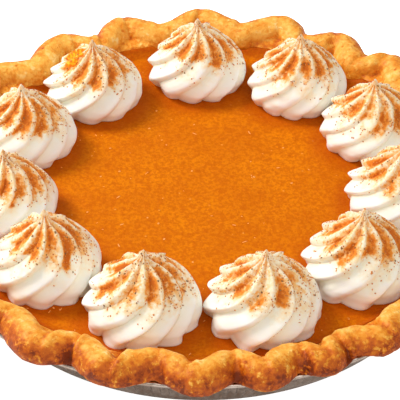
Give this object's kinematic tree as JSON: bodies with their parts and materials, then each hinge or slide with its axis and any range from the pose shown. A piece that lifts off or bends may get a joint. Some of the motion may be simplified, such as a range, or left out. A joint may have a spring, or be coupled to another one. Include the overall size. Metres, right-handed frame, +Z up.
{
  "type": "sweet potato pie",
  "caption": "Round sweet potato pie baked in a foil tin, with a pinched fluted crust and a ring of piped whipped cream rosettes dusted with cinnamon.",
  "frame": {"origin": "centre of the underside of the tin's flat bottom, on the pie's axis", "axes": "+Z up along the pie's axis; -Y is the front of the pie and +X its right side, as seen from the front"},
  "size_m": [0.2574, 0.2593, 0.0606],
  "materials": {
    "foil": "thin pressed foil with fine ribs, softly reflecting",
    "pastry": "baked pastry, golden with browner patches, satin",
    "custard": "baked sweet potato custard, fine grained, slightly moist",
    "cream": "whipped cream, smooth, dusted with cinnamon near the tips"
  },
  "bodies": {
    "root": {"tin": "foil", "crust": "pastry", "filling": "custard", "cream_01": "cream", "cream_02": "cream", "cream_03": "cream", "cream_04": "cream", "cream_05": "cream", "cream_06": "cream", "cream_07": "cream", "cream_08": "cream", "cream_09": "cream", "cream_10": "cream", "cream_11": "cream"}
  },
  "joints": []
}
